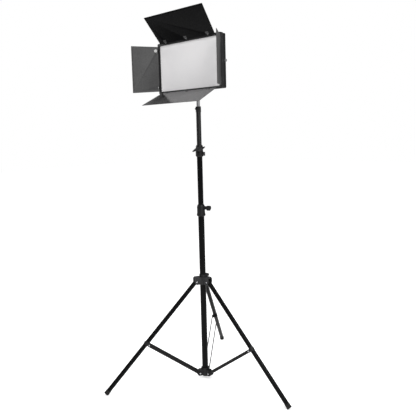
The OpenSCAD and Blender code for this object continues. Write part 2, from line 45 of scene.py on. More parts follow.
# ------------------------------------------------------------------ sizes shared with the design, in millimetres
LR, MR, TR, WALL = 12.5, 11.0, 9.5, 1.0
LEG_TURN, PIV_R, PIV_Z, FOOT_R, LEG_R = 242.0, 30.0, 422.0, 422.0, 9.0
BRACE_AT, BRACE_OFF, BRACE_W, BRACE_T = 317.0, 10.0, 12.6, 1.8
HUB_R, HUB_Z = 26.0, 26.0
THETA = math.atan2(FOOT_R - PIV_R, PIV_Z)
JR = PIV_R + BRACE_AT * math.sin(THETA) - BRACE_OFF * math.cos(THETA)
JZ = PIV_Z - BRACE_AT * math.cos(THETA) - BRACE_OFF * math.sin(THETA)
BETA = math.atan2(JR - HUB_R, JZ - HUB_Z)
BRACE_LEN = math.hypot(JR - HUB_R, JZ - HUB_Z)
STRIP_IN = LEG_R + 1.4
STRIP_OUT = STRIP_IN + BRACE_T
PANEL_Z, FRONT_Y, BACK_Y, REAR_Y = 1283.0, -50.0, -24.0, 12.0
OUT_W, OUT_H = 171.0, 99.0
SIDES = ("left", "right", "rear")


# ------------------------------------------------------------------ materials
def node(nt, kind, **values):
    n = nt.nodes.new(kind)
    for k, v in values.items():
        if k in n.inputs:
            n.inputs[k].default_value = v
        else:
            setattr(n, k, v)
    return n


def material(name, base, vary=0.25, tint=None, metallic=0.0, rough=(0.35, 0.5), scale=(60, 60, 60), grain=(900, 0.00002),
             soft=None, spec=0.5, coat=0.0, coat_rough=0.1, wear=None, wear_at=(0.53, 0.60), streak=None, marks=None, subsurface=0.0,
             sheen=0.0, emission=None):
    """A procedural material: base colour that varies over the surface, roughness that varies, a fine grain and a soft
    large-scale unevenness in the bump, and wear where edges stand out."""
    m = bpy.data.materials.new(name)
    m.use_nodes = True
    nt = m.node_tree
    nt.nodes.clear()
    out = node(nt, "ShaderNodeOutputMaterial")
    b = node(nt, "ShaderNodeBsdfPrincipled")
    nt.links.new(b.outputs["BSDF"], out.inputs["Surface"])
    b.inputs["Metallic"].default_value = metallic
    b.inputs["Specular IOR Level"].default_value = spec
    b.inputs["Coat Weight"].default_value = coat
    b.inputs["Coat Roughness"].default_value = coat_rough
    b.inputs["Sheen Weight"].default_value = sheen
    if subsurface:
        b.inputs["Subsurface Weight"].default_value = subsurface
        b.inputs["Subsurface Radius"].default_value = (0.004, 0.004, 0.004)
    if emission:
        b.inputs["Emission Color"].default_value = (*emission[0], 1)
        b.inputs["Emission Strength"].default_value = emission[1]
    tc = node(nt, "ShaderNodeTexCoord")
    mp = node(nt, "ShaderNodeMapping")
    mp.inputs["Scale"].default_value = scale
    nt.links.new(tc.outputs["Object"], mp.inputs["Vector"])
    broad = node(nt, "ShaderNodeTexNoise", Scale=1.0, Detail=6.0, Roughness=0.55)
    nt.links.new(mp.outputs["Vector"], broad.inputs["Vector"])
    ramp = node(nt, "ShaderNodeValToRGB")
    low = [c * (1 - vary) for c in base]
    high = [min(1, c * (1 + vary)) for c in (tint or base)]
    ramp.color_ramp.elements[0].position, ramp.color_ramp.elements[0].color = 0.34, (*low, 1)
    ramp.color_ramp.elements[1].position, ramp.color_ramp.elements[1].color = 0.68, (*high, 1)
    nt.links.new(broad.outputs["Fac"], ramp.inputs["Fac"])
    colour = ramp.outputs["Color"]
    if marks:
        # fine handling marks: long thin scratches, rare and short
        mm = node(nt, "ShaderNodeMapping")
        mm.inputs["Scale"].default_value = marks[0]
        mm.inputs["Rotation"].default_value = (0.4, 0.7, 0.3)
        nt.links.new(tc.outputs["Object"], mm.inputs["Vector"])
        sn = node(nt, "ShaderNodeTexNoise", Scale=1.0, Detail=3.0, Roughness=0.7)
        nt.links.new(mm.outputs["Vector"], sn.inputs["Vector"])
        sr = node(nt, "ShaderNodeMapRange")
        for k, v in zip(("From Min", "From Max", "To Min", "To Max"), (0.70, 0.76, 0.0, marks[2])):
            sr.inputs[k].default_value = v
        nt.links.new(sn.outputs["Fac"], sr.inputs["Value"])
        mx = node(nt, "ShaderNodeMix", data_type="RGBA")
        nt.links.new(sr.outputs["Result"], mx.inputs[0])
        nt.links.new(colour, mx.inputs[6])
        mx.inputs[7].default_value = (*marks[1], 1)
        colour = mx.outputs[2]
    if wear:
        geo = node(nt, "ShaderNodeNewGeometry")
        wn = node(nt, "ShaderNodeTexNoise", Scale=240.0, Detail=5.0, Roughness=0.7)
        nt.links.new(tc.outputs["Object"], wn.inputs["Vector"])
        add = node(nt, "ShaderNodeMath", operation="MULTIPLY_ADD")
        add.inputs[1].default_value = 0.12
        nt.links.new(wn.outputs["Fac"], add.inputs[0])
        nt.links.new(geo.outputs["Pointiness"], add.inputs[2])
        wr = node(nt, "ShaderNodeMapRange")
        for k, v in zip(("From Min", "From Max", "To Min", "To Max"), (wear_at[0] + 0.06, wear_at[1] + 0.06, 0.0, wear[1])):
            wr.inputs[k].default_value = v
        nt.links.new(add.outputs[0], wr.inputs["Value"])
        mx = node(nt, "ShaderNodeMix", data_type="RGBA")
        nt.links.new(wr.outputs["Result"], mx.inputs[0])
        nt.links.new(colour, mx.inputs[6])
        mx.inputs[7].default_value = (*wear[0], 1)
        colour = mx.outputs[2]
    nt.links.new(colour, b.inputs["Base Color"])
    rr = node(nt, "ShaderNodeMapRange")
    for k, v in zip(("From Min", "From Max", "To Min", "To Max"), (0.3, 0.7, rough[0], rough[1])):
        rr.inputs[k].default_value = v
    nt.links.new(broad.outputs["Fac"], rr.inputs["Value"])
    nt.links.new(rr.outputs["Result"], b.inputs["Roughness"])
    last = None
    if soft:
        so = node(nt, "ShaderNodeTexNoise", Scale=soft[0], Detail=2.0, Roughness=0.4)
        nt.links.new(tc.outputs["Object"], so.inputs["Vector"])
        bs = node(nt, "ShaderNodeBump", Strength=1.0, Distance=soft[1])
        nt.links.new(so.outputs["Fac"], bs.inputs["Height"])
        last = bs.outputs["Normal"]
    if streak:
        sm = node(nt, "ShaderNodeMapping")
        sm.inputs["Scale"].default_value = streak[0]
        nt.links.new(tc.outputs["Object"], sm.inputs["Vector"])
        st = node(nt, "ShaderNodeTexNoise", Scale=1.0, Detail=4.0, Roughness=0.6)
        nt.links.new(sm.outputs["Vector"], st.inputs["Vector"])
        bk = node(nt, "ShaderNodeBump", Strength=1.0, Distance=streak[1])
        nt.links.new(st.outputs["Fac"], bk.inputs["Height"])
        if last:
            nt.links.new(last, bk.inputs["Normal"])
        last = bk.outputs["Normal"]
    if grain:
        gn = node(nt, "ShaderNodeTexNoise", Scale=float(grain[0]), Detail=3.0, Roughness=0.6)
        nt.links.new(tc.outputs["Object"], gn.inputs["Vector"])
        bg = node(nt, "ShaderNodeBump", Strength=1.0, Distance=grain[1])
        nt.links.new(gn.outputs["Fac"], bg.inputs["Height"])
        if last:
            nt.links.new(last, bg.inputs["Normal"])
        last = bg.outputs["Normal"]
    if last:
        nt.links.new(last, b.inputs["Normal"])
    return m


MAT = {
    "black_tube": material("tube_black", (0.0028, 0.0028, 0.0030), rough=(0.24, 0.34), scale=(90, 90, 9), streak=((900, 900, 9), 0.000008),
                           grain=(1500, 0.000004), spec=0.07, marks=((420, 420, 18), (0.02, 0.02, 0.021), 0.35)),
    "black_strip": material("strip_black", (0.0052, 0.0052, 0.0055), rough=(0.46, 0.60), scale=(70, 70, 70), grain=(1600, 0.00001), spec=0.06,
                            wear=((0.10, 0.098, 0.095), 0.4), marks=((500, 90, 90), (0.03, 0.03, 0.03), 0.3)),
    "black_plastic": material("plastic_black", (0.0062, 0.0062, 0.0066), rough=(0.36, 0.52), scale=(45, 45, 45), grain=(1400, 0.00003),
                              soft=(70, 0.00008), spec=0.20, wear=((0.035, 0.035, 0.037), 0.5), marks=((700, 160, 160), (0.035, 0.035, 0.035), 0.25)),
    "rubber": material("rubber_black", (0.006, 0.006, 0.006), tint=(0.013, 0.0125, 0.012), rough=(0.62, 0.82), scale=(80, 80, 80),
                       grain=(1100, 0.00004), soft=(90, 0.0001), spec=0.2),
    "white_plastic": material("nylon_white", (0.78, 0.77, 0.73), vary=0.05, rough=(0.35, 0.48), grain=(900, 0.00002), subsurface=0.1),
    "rivet_steel": material("steel_bright", (0.42, 0.42, 0.44), vary=0.12, metallic=1.0, rough=(0.16, 0.34), scale=(300, 300, 300),
                            grain=(2600, 0.000006)),
    "chrome": material("chrome_polished", (0.83, 0.83, 0.85), vary=0.03, metallic=1.0, rough=(0.05, 0.14), scale=(60, 60, 60),
                       streak=((60, 60, 2600), 0.000003), grain=(900, 0.000002)),
    "black_sheet": material("sheet_black", (0.0185, 0.018, 0.0185), rough=(0.40, 0.52), scale=(22, 22, 22), grain=(2200, 0.00002),
                            soft=(14, 0.00045), wear=((0.12, 0.12, 0.12), 0.45), marks=((260, 60, 60), (0.06, 0.06, 0.06), 0.22)),
    "black_frame": material("frame_black", (0.0085, 0.0085, 0.009), rough=(0.34, 0.46), scale=(40, 40, 40), grain=(2200, 0.000015),
                            soft=(30, 0.0001), spec=0.32, wear=((0.06, 0.06, 0.06), 0.4)),
    # painted glow: the opal diffuser carries a faint, even white emission that lifts its brightness
    "opal": material("opal_acrylic_painted_glow", (0.655, 0.648, 0.655), vary=0.012, tint=(0.67, 0.66, 0.665), rough=(0.30, 0.38), scale=(9, 9, 9),
                     grain=(2600, 0.00001), soft=(6, 0.0002), subsurface=0.25, spec=0.12, emission=((1.0, 0.99, 0.98), 0.02)),
    "pcb_white": material("board_white", (0.78, 0.77, 0.72), vary=0.06, rough=(0.3, 0.45), grain=(1200, 0.00002)),
    "pcb_green": material("board_green", (0.02, 0.14, 0.06), vary=0.2, rough=(0.25, 0.4), grain=(900, 0.00003), coat=0.3),
    "display": material("display_glass", (0.006, 0.010, 0.012), vary=0.3, rough=(0.05, 0.12), scale=(30, 30, 30), grain=(600, 0.000002), coat=1.0,
                        coat_rough=0.03),
    "gold": material("contact_gold", (0.80, 0.56, 0.20), vary=0.12, metallic=1.0, rough=(0.2, 0.35), scale=(300, 300, 300), grain=(1800, 0.00001)),
    "nickel": material("nickel_satin", (0.66, 0.66, 0.67), vary=0.1, metallic=1.0, rough=(0.18, 0.32), scale=(200, 200, 200), grain=(2000, 0.00001)),
}
# copies of the black sheet and tube finishes for single pieces, recoloured for how each piece is lit (painted light
# and shade), and the finishes of hinge clips, pads and print
# painted shade: a much darker, less glossy copy of the black sheet for the top door, which faces away from the light
DOOR_TOP_PAINTED_SHADE = material("sheet_black_top_painted_shade", (0.0022, 0.0022, 0.0025), rough=(0.46, 0.58), scale=(22, 22, 22), grain=(2200, 0.00002),
                    soft=(14, 0.0004), spec=0.02, wear=((0.04, 0.04, 0.04), 0.35), marks=((260, 60, 60), (0.015, 0.015, 0.015), 0.2))
# painted light and shade: a glossier copy of the black sheet for the bottom door, with a darker base and lighter wear
# and marks, set to how that door is lit
DOOR_BOTTOM_LIT_COPY = material("sheet_black_bottom_lit_copy", (0.014, 0.0135, 0.014), rough=(0.15, 0.20), scale=(22, 22, 22), grain=(2200, 0.000004),
                       soft=(14, 0.0001), spec=0.5, wear=((0.14, 0.14, 0.14), 0.4), marks=((260, 60, 60), (0.10, 0.10, 0.10), 0.25))
CLIP_GREY = material("clip_grey", (0.022, 0.022, 0.023), vary=0.2, metallic=0.15, spec=0.3, rough=(0.4, 0.55), scale=(300, 300, 300), grain=(2600, 0.00001),
                     wear=((0.09, 0.09, 0.09), 0.35))
PAD_WHITE = material("pad_white", (0.46, 0.46, 0.455), vary=0.04, rough=(0.28, 0.4), scale=(300, 300, 300), grain=(1800, 0.00001), subsurface=0.1)
# painted light: a lighter, glossier copy of the black tube finish for the top tube, with lighter marks, set to how
# the top of the column is lit
TUBE_TOP_LIT_COPY = material("tube_black_top_lit_copy", (0.0085, 0.0085, 0.0088), rough=(0.26, 0.36), scale=(90, 90, 9), streak=((900, 900, 9), 0.000008),
                    grain=(1500, 0.000004), spec=0.32, marks=((420, 420, 18), (0.045, 0.045, 0.046), 0.35))
RING_WHITE = material("print_white", (0.7, 0.7, 0.69), vary=0.08, rough=(0.4, 0.5), scale=(500, 500, 500), grain=(2600, 0.000006))


# ------------------------------------------------------------------ mesh kit
def add(name, bm, mat, body, matrix=None, smooth=40, bevel=None):
    """Makes a piece from a bmesh that is in millimetres, puts it in place and lets it ride on a body."""
    bmesh.ops.recalc_face_normals(bm, faces=bm.faces)
    me = bpy.data.meshes.new(name)
    bm.to_mesh(me)
    bm.free()
    me.transform(Matrix.Scale(MM, 4))
    me.shade_smooth()
    me.set_sharp_from_angle(angle=math.radians(smooth))
    o = bpy.data.objects.new(name, me)
    scene.collection.objects.link(o)
    me.materials.append(mat)
    if matrix is not None:
        t = matrix.copy()
        t.translation = t.translation * MM
        o.matrix_world = t
    if bevel:
        soft_edges(o, bevel)
    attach(o, body)
    return o


def soft_edges(o, width, segments=2, angle=32):
    o.data.shade_smooth()
    mod = o.modifiers.new("edges", "BEVEL")
    mod.width = width * MM
    mod.segments = segments
    mod.limit_method = "ANGLE"
    mod.angle_limit = math.radians(angle)
    mod.use_clamp_overlap = True
    mod.harden_normals = True
    mod.miter_outer = "MITER_ARC"


def clean_copy(name):
    """A welded copy of a CAD node's mesh with its flat faces joined, in metres."""
    src = NODES[name].data
    bm = bmesh.new()
    for v in src.vertices:
        bm.verts.new(v.co)
    bm.verts.ensure_lookup_table()
    for p in src.polygons:
        vs = [bm.verts[i] for i in p.vertices]
        if len(set(vs)) == len(vs):
            try:
                bm.faces.new(vs)
            except ValueError:
                pass
    bmesh.ops.remove_doubles(bm, verts=bm.verts, dist=2e-6)
    bmesh.ops.dissolve_degenerate(bm, dist=1e-6, edges=bm.edges)
    bmesh.ops.dissolve_limit(bm, angle_limit=math.radians(0.6), verts=bm.verts, edges=bm.edges, delimit=set())
    bmesh.ops.recalc_face_normals(bm, faces=bm.faces)
    return bm


def soften(name, width=0.4, mat=None, segments=2, piece=None):
    """The CAD node's own shape with its edges rounded, in place of the sharp one."""
    bm = clean_copy(name)
    me = bpy.data.meshes.new((piece or name) + "_shape")
    bm.to_mesh(me)
    bm.free()
    o = bpy.data.objects.new(piece or name + "_finished", me)
    scene.collection.objects.link(o)
    me.materials.append(mat or MAT[SLOT_OF[name]])
    soft_edges(o, width, segments)
    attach(o, BODY_OF[name])
    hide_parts(name)
    return o


def fillet(points, radius, steps=3, closed=True):
    """Rounds the corners of a polyline of (r, z) points."""
    n = len(points)
    result = []
    for i, p in enumerate(points):
        if not closed and i in (0, n - 1):
            result.append(p)
            continue
        a, c = points[i - 1], points[(i + 1) % n]
        r = radius[i] if isinstance(radius, (list, tuple)) else radius
        if r <= 0:
            result.append(p)
            continue
        va, vc = Vector((a[0] - p[0], a[1] - p[1])), Vector((c[0] - p[0], c[1] - p[1]))
        la, lc = va.length, vc.length
        if la < 1e-6 or lc < 1e-6:
            result.append(p)
            continue
        va.normalize(); vc.normalize()
        half = va.angle(vc) / 2
        if half > math.radians(86):
            result.append(p)
            continue
        t = min(r / math.tan(half), la * 0.48, lc * 0.48)
        s, e = Vector(p) + va * t, Vector(p) + vc * t
        for k in range(steps + 1):
            u = k / steps
            q = s * (1 - u) ** 2 + Vector(p) * 2 * u * (1 - u) + e * u * u
            result.append((q.x, q.y))
    return result


def lathe(profile, closed=False, seg=72, radius_of=None):
    """Turns a profile of (r, z) round Z. A closed profile makes a ring, an open one starts and ends on the axis."""
    bm = bmesh.new()
    rings = []
    for r, z in profile:
        if r < 1e-6:
            rings.append([bm.verts.new((0, 0, z))])
        else:
            rings.append([bm.verts.new(((r if radius_of is None else radius_of(r, 2 * math.pi * k / seg)) * math.cos(2 * math.pi * k / seg),
                                        (r if radius_of is None else radius_of(r, 2 * math.pi * k / seg)) * math.sin(2 * math.pi * k / seg), z)) for k in range(seg)])
    order = list(zip(rings, rings[1:])) + ([(rings[-1], rings[0])] if closed else [])
    for a, b in order:
        for k in range(seg):
            k2 = (k + 1) % seg
            if len(a) == 1 and len(b) == 1:
                break
            if len(a) == 1:
                bm.faces.new((a[0], b[k], b[k2]))
            elif len(b) == 1:
                bm.faces.new((a[k], b[0], a[k2]))
            else:
                bm.faces.new((a[k], b[k], b[k2], a[k2]))
    return bm


def extruded(points, y0, y1):
    """An outline of (x, z) points, extruded along Y."""
    bm = bmesh.new()
    a = [bm.verts.new((x, y0, z)) for x, z in points]
    b = [bm.verts.new((x, y1, z)) for x, z in points]
    bm.faces.new(a)
    bm.faces.new(list(reversed(b)))
    for i in range(len(points)):
        j = (i + 1) % len(points)
        bm.faces.new((a[i], b[i], b[j], a[j]))
    return bm


def joined(*meshes):
    """Several closed shells that don't meet, as one bmesh."""
    bm = meshes[0]
    for other in meshes[1:]:
        vs = [bm.verts.new(v.co) for v in other.verts]
        other.verts.ensure_lookup_table()
        for i, v in enumerate(other.verts):
            v.index = i
        for f in other.faces:
            bm.faces.new([vs[v.index] for v in f.verts])
        other.free()
    return bm


def moved(bm, matrix):
    bmesh.ops.transform(bm, matrix=matrix, verts=bm.verts)
    return bm


def T(x, y, z):
    return Matrix.Translation((x, y, z))


def R(deg, axis):
    return Matrix.Rotation(math.radians(deg), 4, axis)


def spoke(azimuth, z):
    """Local Z points outwards from the column at an azimuth."""
    return R(azimuth, "Z") @ T(0, 0, z) @ R(90, "Y")


def at_leg(i):
    return R(LEG_TURN + 120 * i, "Z")


def on_leg(i):
    return at_leg(i) @ T(PIV_R, 0, PIV_Z) @ R(180 - math.degrees(THETA), "Y")


def cut(o, cutter_bm, matrix=None):
    """Takes a shape in millimetres out of a piece, for good."""
    me = bpy.data.meshes.new("cutter")
    bmesh.ops.recalc_face_normals(cutter_bm, faces=cutter_bm.faces)
    cutter_bm.to_mesh(me)
    cutter_bm.free()
    me.transform(Matrix.Scale(MM, 4))
    c = bpy.data.objects.new("cutter", me)
    scene.collection.objects.link(c)
    t = (matrix or Matrix.Identity(4)).copy()
    t.translation = t.translation * MM
    c.matrix_world = t
    mod = o.modifiers.new("cut", "BOOLEAN")
    mod.operation = "DIFFERENCE"
    mod.solver = "EXACT"
    mod.object = c
    bpy.context.view_layer.update()
    dg = bpy.context.evaluated_depsgraph_get()
    new = bpy.data.meshes.new_from_object(o.evaluated_get(dg))
    o.modifiers.remove(mod)
    old = o.data
    o.data = new
    bpy.data.meshes.remove(old)
    bpy.data.objects.remove(c)
    bpy.data.meshes.remove(me)


def rivet_profile(r_head, h_head, r_shank, length):
    """A domed head standing on z = 0, with its shank going down."""
    dome = [(r_head * math.cos(a), h_head * (0.35 + 0.65 * math.sin(a))) for a in [math.radians(x) for x in (0, 15, 30, 45, 60, 75, 86)]]
    return [(0, -length), (r_shank, -length), (r_shank, 0.0), (r_head - 0.15, 0.0)] + [(r_head, 0.15)] + dome[1:] + [(0, h_head)]


def tube_profile(r_out, r_in, z0, z1, f=0.25):
    return fillet([(r_out, z0), (r_out, z1), (r_in, z1), (r_in, z0)], f)


# ------------------------------------------------------------------ column tubes
def tube(name, r, z0, z1, mat):
    o = add(name + "_tube_wall", lathe(tube_profile(r, r - WALL, z0, z1), closed=True, seg=96), mat, BODY_OF[name])
    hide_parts(name)
    return o


tube("lower_tube", LR, 17, 732.8, MAT["black_tube"])
tube("middle_tube", MR, 290, 971, MAT["black_tube"])
tube("top_tube", TR, 455, 1105, TUBE_TOP_LIT_COPY)

cap = add("column_end_rubber", lathe(fillet([(0, 10), (LR + 0.6, 10), (LR + 0.6, 16.9), (LR - WALL - 0.04, 16.9), (LR - WALL - 0.04, 28.9), (0, 28.9)],
                                            [0, 1.6, 0.3, 0, 0.6, 0], closed=False)), MAT["rubber"], "lower_column")
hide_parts("column_end_cap")
spig = add("stand_spigot_turned", lathe(fillet([(0, 1045), (8.47, 1045), (8.47, 1105.0), (8, 1105.4), (8, 1108),
                                               (7.3, 1109), (7.3, 1116), (8, 1117), (8, 1121), (0, 1121)],
                                               [0, .5, .1, .1, .3, .3, .3, .3, .9, 0], closed=False)), MAT["chrome"], "top_column")
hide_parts("stand_spigot")

# ------------------------------------------------------------------ collars, hub and knobs
soften("lower_clamp_collar", 0.7, segments=3)
soften("upper_clamp_collar", 0.7, segments=3)
soften("leg_collar", 0.6, segments=2)
soften("base_hub", 0.6, segments=2)


def lobes(count, r_out, depth, power=1.0):
    """A radius that swells at each finger of a knob. Full depth at the rim, none near the axis."""
    def radius(r, a):
        s = 0.5 - 0.5 * math.cos(count * a + math.pi)
        share = min(1.0, r / r_out)
        return r - depth * share ** 2 * (1 - s ** power)
    return radius


def knob(name, count, r, depth, h, crown, matrix, mat, node_name, extra=(), seg=120, dish=0.0, power=0.75):
    """A moulded knob with fingers: crowned top, rounded rim, dished underside, and its boss and screw."""
    prof = [(0, crown - dish), (r * 0.30, crown - dish * 0.6), (r * 0.52, crown - 0.1), (r * 0.78, crown - 0.45)]
    prof = [(0, 0.6), (r * 0.5, 0.6), (r * 0.58, 0.0), (r * 0.84, 0.0)]
    prof += [(r * 0.84 + (r * 0.16) * math.sin(a), h * 0.22 * (1 - math.cos(a))) for a in [math.radians(x) for x in (20, 40, 60, 80, 90)]]
    prof += [(r, h * 0.5), (r, h * 0.70)]
    prof += [(r - (r * 0.22) * (1 - math.cos(a)), h * 0.70 + (h * 0.30) * math.sin(a)) for a in [math.radians(x) for x in (20, 40, 60, 78)]]
    prof += [(r * 0.60, h - 0.05), (r * 0.46, h - 0.1), (r * 0.40, h + crown - 0.3), (r * 0.30, h + crown), (0, h + crown - dish)]
    bm = lathe(prof, seg=seg, radius_of=lobes(count, r, depth, power))
    parts = [bm]
    for p in extra:
        parts.append(lathe(p, seg=64))
    o = add(name, joined(*parts), mat, BODY_OF[node_name], matrix, smooth=50)
    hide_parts(node_name)
    return o


def rod(r, z0, z1, f=0.4):
    return fillet([(0, z0), (r, z0), (r, z1), (0, z1)], [0, f, f, 0], closed=False)


BP = MAT["black_plastic"]
knob("lower_clamp_knob_moulded", 3, 11.4, 4.2, 16, 2.6, spoke(20, 726) @ T(0, 0, 25), BP, "lower_clamp_knob",
     extra=(rod(6, -5.2, 1.2), rod(2.95, -12.1, -4.9)), dish=0.8)
soften("upper_clamp_knob", 1.2, segments=3)
knob("leg_collar_knob_moulded", 6, 4.3, 0.8, 12, 1.2, R(62, "Z") @ T(21.8, 0, 445.8) @ R(-90, "X") @ T(0, 0, 6.4), BP, "leg_collar_knob",
     extra=(rod(1.95, -14.4, 1.0), rod(3.5, -15.4, -12.8)), dish=0.4)
knob("tilt_knob_moulded", 5, 12, 2.6, 11, 0.0, T(0, 0, 1192) @ R(-90, "Y") @ T(0, 0, 14), BP, "tilt_knob", extra=(rod(6.5, -5.2, 0.9),), dish=-0.0)
soften("socket_knob", 0.6)

# ------------------------------------------------------------------ rivets of the hub and the leg collar
STEEL = MAT["rivet_steel"]
hub, col = [], []
for i in range(3):
    m = at_leg(i) @ T(HUB_R, 0, HUB_Z)
    hub.append(moved(lathe(rod(2.5, -STRIP_OUT - 0.5, STRIP_OUT + 0.5), seg=40), m @ R(90, "X")))
    for s in (-1, 1):
        hub.append(moved(lathe(rivet_profile(3.5, 1.25, 2.4, 0.1), seg=40), m @ R(-90 * s, "X") @ T(0, 0, STRIP_OUT + 0.32)))
    m = at_leg(i) @ T(PIV_R, 0, PIV_Z)
    col.append(moved(lathe(rod(2.5, -13.4, 13.4), seg=40), m @ R(90, "X")))
    for s in (-1, 1):
        col.append(moved(lathe(rivet_profile(3.3, 1.5, 2.4, 0.1), seg=40), m @ R(-90 * s, "X") @ T(0, 0, 13.25)))
o = add("hub_rivets", joined(*hub), STEEL, "lower_column")
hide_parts("hub_pins")
o = add("leg_collar_rivets", joined(*col), STEEL, "leg_slider")
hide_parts("leg_collar_pins")

# ------------------------------------------------------------------ legs, feet, saddles and braces
for i, side in enumerate(SIDES):
    m = on_leg(i)
    o = add(side + "_leg_tube_wall", lathe(tube_profile(LEG_R, LEG_R - 1, -9, 558), closed=True, seg=80), MAT["black_tube"], side + "_leg", m)
    cut(o, lathe(rod(2.55, -20, 20, 0), seg=40), m @ R(90, "X"))
    o.data.shade_smooth(); o.data.set_sharp_from_angle(angle=math.radians(40))
    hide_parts(side + "_leg_tube")
    # moulded cap with a lead-in lip and two shallow grooves; its square end is worn flat where it stands
    r = LEG_R + 0.9
    full = [(0, 558.05), (LEG_R + 0.02, 558.05), (LEG_R + 0.02, 552.1), (LEG_R + 0.3, 552), (r - 0.2, 552.2), (r, 552.8), (r, 555.5)]
    for k in range(2):
        z = 555.5 + 3.6 * k
        full += [(r, z), (r - 0.4, z + 0.5), (r - 0.4, z + 1.1), (r, z + 1.6)]
    full += [(r, 568.9), (r - 0.35, 569.65), (r - 1.1, 569.98), (0, 569.98)]
    bm = lathe(full, seg=96)
    moved(bm, m)
    res = bmesh.ops.bisect_plane(bm, geom=bm.verts[:] + bm.edges[:] + bm.faces[:], plane_co=(0, 0, 0), plane_no=(0, 0, -1), clear_outer=True)
    edge = [e for e in res["geom_cut"] if isinstance(e, bmesh.types.BMEdge)]
    bmesh.ops.edgeloop_fill(bm, edges=edge)
    o = add(side + "_leg_rubber_foot", bm, MAT["rubber"], side + "_leg", smooth=35)
    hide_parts(side + "_leg_foot")
    soften(side + "_leg_saddle", 0.6, segments=2)
    # two pressed strips with round ends, each with a shallow rib down its middle
    base = at_leg(i) @ T(HUB_R, 0, HUB_Z) @ R(math.degrees(BETA), "Y")
    shells, rivets = [], []
    w = BRACE_W / 2
    outline = [(w * math.cos(a), w * math.sin(a)) for a in [math.radians(180 + k * 12) for k in range(16)]]
    outline += [(w * math.cos(a), BRACE_LEN + w * math.sin(a)) for a in [math.radians(k * 12) for k in range(16)]]
    for s in (-1, 1):
        y0, y1 = sorted((s * STRIP_IN, s * STRIP_OUT))
        bm = extruded(outline, y0, y1)
        rib = [(2.2 * math.cos(a), 22 + 2.2 * math.sin(a)) for a in [math.radians(180 + k * 20) for k in range(10)]]
        rib += [(2.2 * math.cos(a), BRACE_LEN - 22 + 2.2 * math.sin(a)) for a in [math.radians(k * 20) for k in range(10)]]
        yr = s * STRIP_OUT
        shells.append(bm)
        rb = extruded(rib, min(yr - 0.3 * s, yr + 0.35 * s), max(yr - 0.3 * s, yr + 0.35 * s))
        shells.append(rb)
        rivets.append(moved(lathe([(0, STRIP_IN), (2.45, STRIP_IN), (2.45, STRIP_OUT + 0.04), (3.4, STRIP_OUT + 0.04), (3.5, STRIP_OUT + 0.25), (3.35, STRIP_OUT + 0.65),
                                   (2.9, STRIP_OUT + 1.05), (2.0, STRIP_OUT + 1.35), (1.0, STRIP_OUT + 1.48), (0, STRIP_OUT + 1.5)], seg=40),
                            T(0, 0, BRACE_LEN) @ R(-90 * s, "X")))
    o = add(side + "_brace_strips", joined(*shells), MAT["black_strip"], side + "_brace_pair", base)
    for y in (0,):
        cut(o, lathe(rod(2.55, -20, 20, 0), seg=40), base @ R(90, "X"))
        cut(o, lathe(rod(2.5, -20, 20, 0), seg=40), base @ T(0, 0, BRACE_LEN) @ R(90, "X"))
    soft_edges(o, 0.3, 2)
    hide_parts(side + "_brace")
    o = add(side + "_brace_rivets", joined(*rivets), STEEL, side + "_brace_pair", base)

# ------------------------------------------------------------------ head mount
soften("spigot_socket", 0.6, segments=3)
soften("tilt_stem", 0.5, segments=3)
soften("tilt_fork", 0.5)
soften("tilt_bolt", 0.5)

# ------------------------------------------------------------------ panel
soften("housing", 0.5, MAT["black_plastic"])
soften("front_bezel", 0.3)
soften("diffuser", 0.3)
soften("rear_cover", 0.7, segments=3)
soften("display_window", 0.15)
soften("dc_jack", 0.25)
soften("battery_plates", 0.25)
soften("battery_contacts", 0.12)
soften("cover_screws", 0.12)
soften("power_rocker", 0.35)
soften("brightness_knob", 0.22)
soften("colour_knob", 0.22)
soften("barndoor_frame", 0.28)
soften("left_thumb_screw", 0.2)
soften("right_thumb_screw", 0.2)
NODES["hinge_pins"].data.materials.clear()
NODES["hinge_pins"].data.materials.append(CLIP_GREY)
for n in ("spacer_frame", "led_board", "control_board", "middle_tube_bush", "top_tube_bush"):
    NODES[n].data.materials.clear()
    NODES[n].data.materials.append(MAT[SLOT_OF[n]])

# dial marks round the two knobs: raised dots, no lettering
marks = []
for s in (-1, 1):
    for k in range(11):
        a = math.radians(225 - 27 * k)
        marks.append(moved(lathe([(0, -0.05), (0.55 if k % 5 else 0.85, -0.05), (0.5 if k % 5 else 0.8, 0.16), (0, 0.2)], seg=20),
                           T(s * 18 + 13.4 * math.cos(a), REAR_Y, PANEL_Z - 2 + 13.4 * math.sin(a)) @ R(-90, "X")))
o = add("dial_marks", joined(*marks), RING_WHITE, "panel_head")

# small screws in the side skirts of the barn-door frame
trim = []
for s in (-1, 1):
    for z in (-71, 71):
        trim.append(moved(lathe(rivet_profile(2.6, 1.1, 1.2, 0.3), seg=32), T(s * (OUT_W - 0.02), -44.2, PANEL_Z + z) @ R(90 * s, "Y")))
o = add("frame_side_rivets", joined(*trim), CLIP_GREY, "panel_head")


